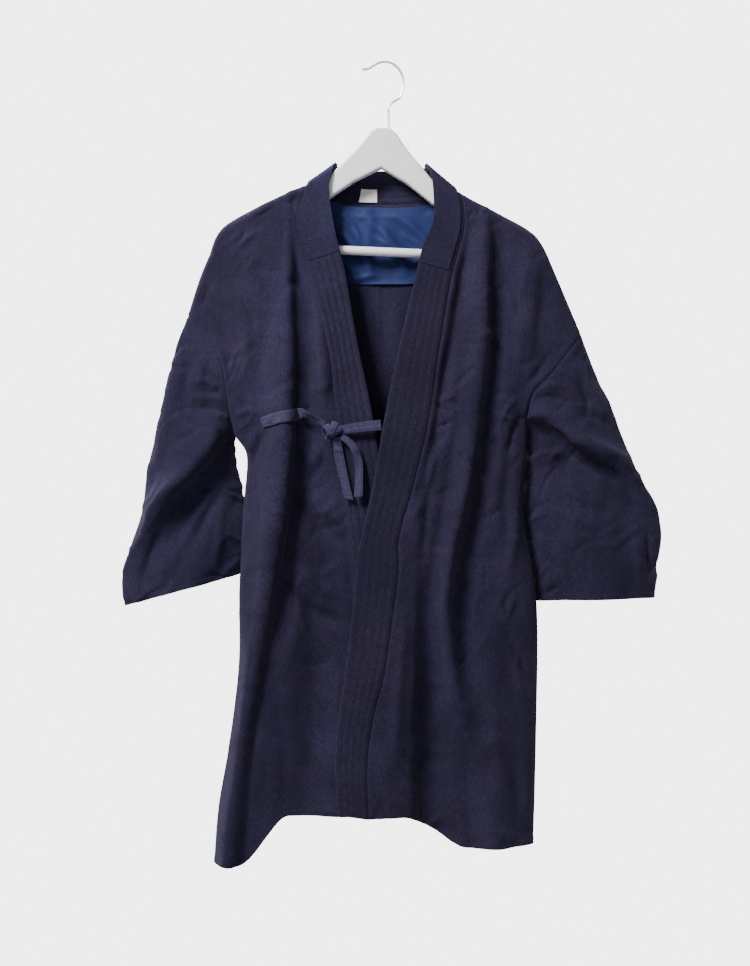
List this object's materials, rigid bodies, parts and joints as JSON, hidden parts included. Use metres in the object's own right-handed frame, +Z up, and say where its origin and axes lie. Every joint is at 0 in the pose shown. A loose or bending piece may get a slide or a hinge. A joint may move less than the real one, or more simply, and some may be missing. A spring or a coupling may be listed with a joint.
{
  "type": "short kimono jacket on a hanger",
  "caption": "Short kimono jacket in quilt-collared cotton, hung open-necked on a flat hanger with a wire hook, its fronts crossed and tied.",
  "frame": {"origin": "inner crown of the hanger's hook, where the wire rests on what holds it", "axes": "+Z up along the hanging garment, -Y out of its front, +X towards the wearer's left"},
  "size_m": [0.724, 0.0946, 1.0793],
  "materials": {
    "navy_cotton": "matt woven cotton",
    "navy_quilting": "stitched cotton band",
    "navy_tape": "plain cotton tape",
    "blue_lining": "smooth plain cotton",
    "label_cloth": "woven ribbon",
    "white_paint": "satin white paint",
    "hook_wire": "bright drawn wire"
  },
  "bodies": {
    "root": {"front_right": "navy_cotton", "front_left": "navy_cotton", "back_right": "navy_cotton", "back_left": "navy_cotton", "sleeve_right": "navy_cotton", "sleeve_left": "navy_cotton", "collar": "navy_quilting", "collar_cover": "navy_quilting", "neck_label": "label_cloth", "yoke_lining": "blue_lining", "tie_right": "navy_tape", "tie_left": "navy_tape", "tie_end_right": "navy_tape", "tie_end_left": "navy_tape", "tie_knot": "navy_tape", "hanger_body": "white_paint", "hanger_bar": "white_paint", "hanger_hook": "hook_wire"}
  },
  "joints": []
}
